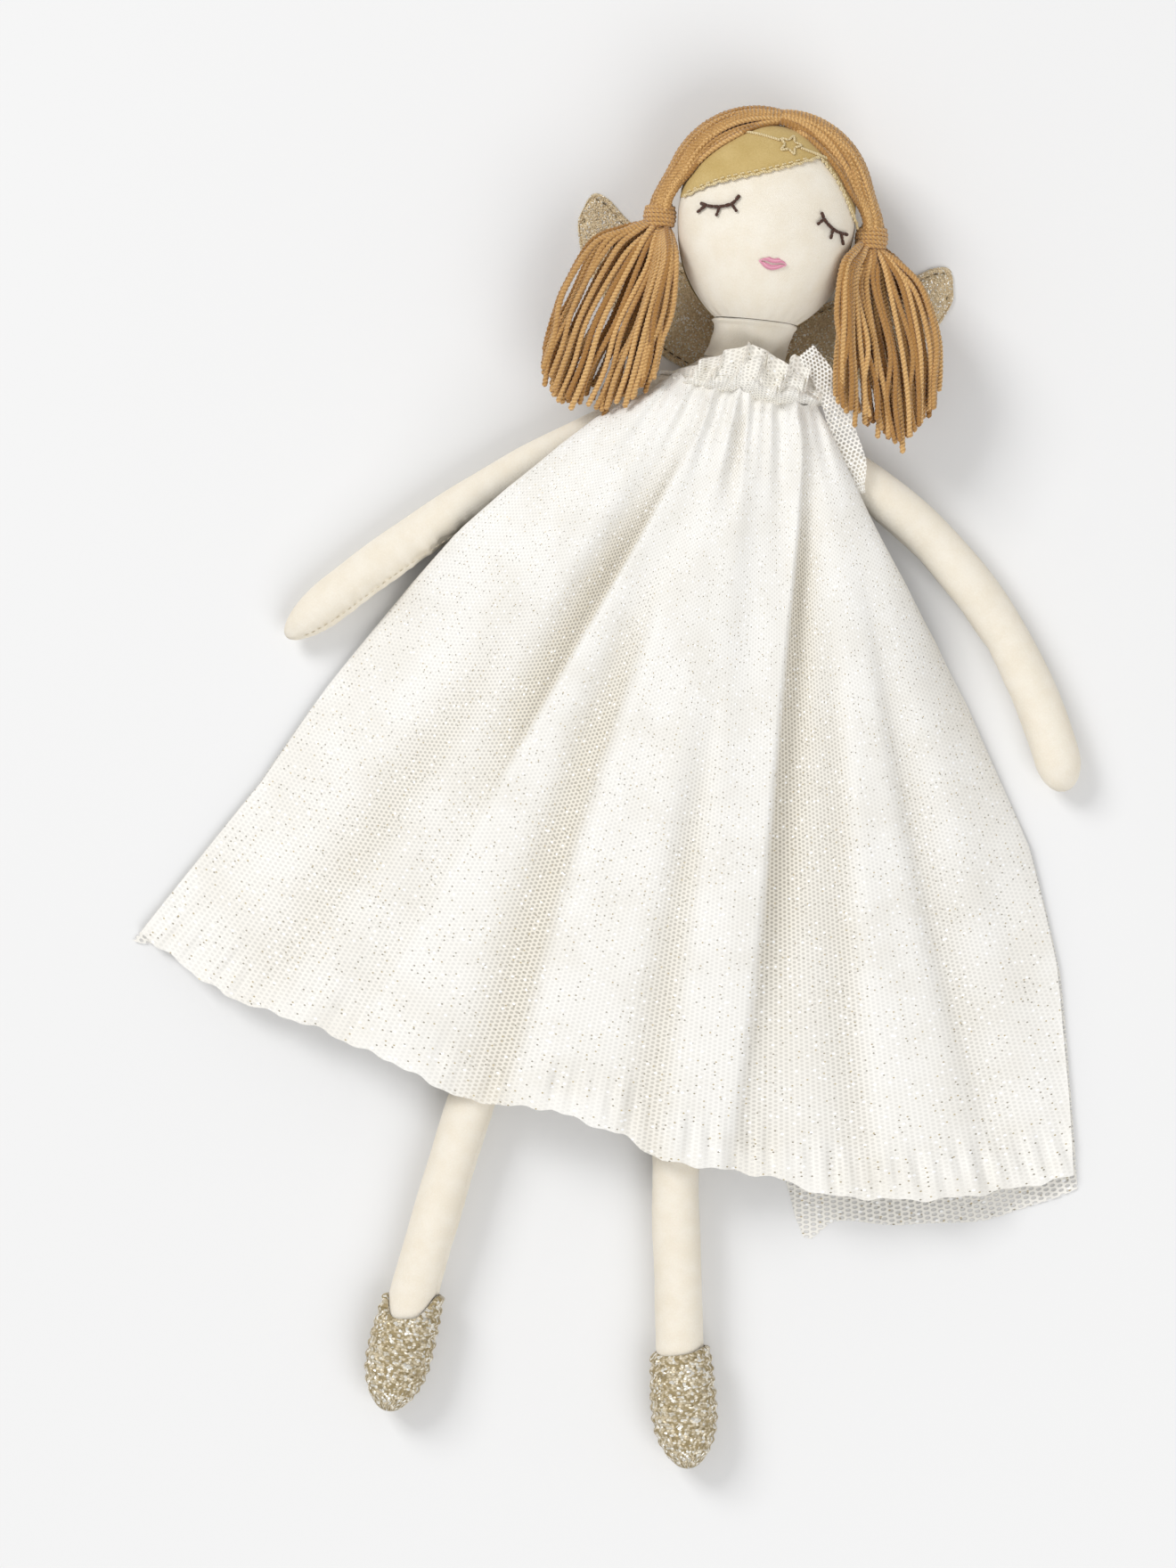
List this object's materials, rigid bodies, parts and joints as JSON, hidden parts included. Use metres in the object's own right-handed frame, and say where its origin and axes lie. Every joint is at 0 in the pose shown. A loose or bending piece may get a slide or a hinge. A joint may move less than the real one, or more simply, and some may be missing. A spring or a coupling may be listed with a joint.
{
  "type": "rag doll",
  "caption": "Soft stuffed cloth fairy doll lying on its back, with yarn pigtails, padded wings, glitter shoes and a gathered two-layer tulle dress",
  "frame": {"origin": "middle of the doll's shoulder line, on the flat underside it lies on", "axes": "+Y up the doll towards the head, +Z out of its front, +X towards the right of its front view"},
  "size_m": [0.353, 0.484, 0.0493],
  "materials": {
    "cotton_skin": "cream cotton cloth, plain weave",
    "hair_cloth": "ochre cotton cloth",
    "yarn": "caramel twisted yarn",
    "stuffing": "loose polyester fill",
    "tulle": "ivory glitter tulle, sheer",
    "satin": "ivory satin lining",
    "wing_glitter": "beige gold glitter cloth, padded",
    "shoe_glitter": "gold and silver glitter cloth",
    "dark_thread": "dark brown embroidery thread",
    "pink_thread": "pink embroidery thread",
    "gold_thread": "cream gold cord"
  },
  "bodies": {
    "torso": {"torso_skin": "cotton_skin", "torso_stuffing": "stuffing", "dress_front_tulle": "tulle", "dress_front_lining": "satin", "dress_back_lining": "satin", "dress_back_tulle": "tulle", "neck_frill": "tulle", "neckline_elastic": "satin"},
    "head": {"neck": "cotton_skin", "face_panel": "cotton_skin", "head_back_panel": "hair_cloth", "head_stuffing": "stuffing", "hair_cap": "hair_cloth", "headband_cord": "gold_thread", "headband_star": "gold_thread", "left_eye_stitching": "dark_thread", "right_eye_stitching": "dark_thread", "lips_stitching": "pink_thread", "hair_crown_left": "yarn", "hair_crown_right": "yarn", "pigtail_tie_left": "yarn", "pigtail_tie_right": "yarn"},
    "pigtail_left": {"pigtail_left": "yarn"},
    "pigtail_right": {"pigtail_right": "yarn"},
    "arm_left": {"arm_left_skin": "cotton_skin", "arm_left_stuffing": "stuffing"},
    "arm_right": {"arm_right_skin": "cotton_skin", "arm_right_stuffing": "stuffing"},
    "hips": {"hip_seam": "cotton_skin"},
    "leg_left": {"leg_left_skin": "cotton_skin", "leg_left_stuffing": "stuffing", "shoe_left": "shoe_glitter"},
    "leg_right": {"leg_right_skin": "cotton_skin", "leg_right_stuffing": "stuffing", "shoe_right": "shoe_glitter"},
    "wing_left": {"wing_left_back_panel": "wing_glitter", "wing_left_wadding": "stuffing", "wing_left_front_panel": "wing_glitter"},
    "wing_right": {"wing_right_back_panel": "wing_glitter", "wing_right_wadding": "stuffing", "wing_right_front_panel": "wing_glitter"}
  },
  "joints": [
    {"name": "neck_nod", "type": "hinge", "parent": "torso", "child": "head", "pos_m": [0, 0.021, 0.036], "axis": [1, 0, 0], "range_deg": [0, 25]},
    {"name": "pigtail_left_lift", "type": "hinge", "parent": "head", "child": "pigtail_left", "pos_m": [-0.0395, 0.0587, 0.0312], "axis": [-1, 0, 0], "range_deg": [0, 50]},
    {"name": "pigtail_right_lift", "type": "hinge", "parent": "head", "child": "pigtail_right", "pos_m": [0.0345, 0.0658, 0.0312], "axis": [-1, 0, 0], "range_deg": [0, 50]},
    {"name": "arm_left_raise", "type": "hinge", "parent": "torso", "child": "arm_left", "pos_m": [-0.04, -0.011, 0.0155], "axis": [0, 0, -1], "range_deg": [0, 35]},
    {"name": "arm_right_raise", "type": "hinge", "parent": "torso", "child": "arm_right", "pos_m": [0.0412, -0.0084, 0.0155], "axis": [0, 0, 1], "range_deg": [0, 35]},
    {"name": "hip_fold", "type": "hinge", "parent": "torso", "child": "hips", "pos_m": [0, -0.1152, 0.024], "axis": [-1, 0, 0], "range_deg": [0, 80], "deforming": ["dress_front_tulle", "dress_front_lining", "dress_back_lining", "dress_back_tulle"]},
    {"name": "leg_left_swing", "type": "hinge", "parent": "hips", "child": "leg_left", "pos_m": [-0.016, -0.128, 0.014], "axis": [0, 0, -1], "range_deg": [-4, 10]},
    {"name": "leg_right_swing", "type": "hinge", "parent": "hips", "child": "leg_right", "pos_m": [0.0147, -0.128, 0.014], "axis": [0, 0, 1], "range_deg": [-6, 8]},
    {"name": "wing_left_flap", "type": "hinge", "parent": "torso", "child": "wing_left", "pos_m": [-0.003, 0.025, 0.003], "axis": [0, 1, 0], "range_deg": [0, 8]},
    {"name": "wing_right_flap", "type": "hinge", "parent": "torso", "child": "wing_right", "pos_m": [0.003, 0.025, 0.003], "axis": [0, -1, 0], "range_deg": [0, 8]}
  ]
}
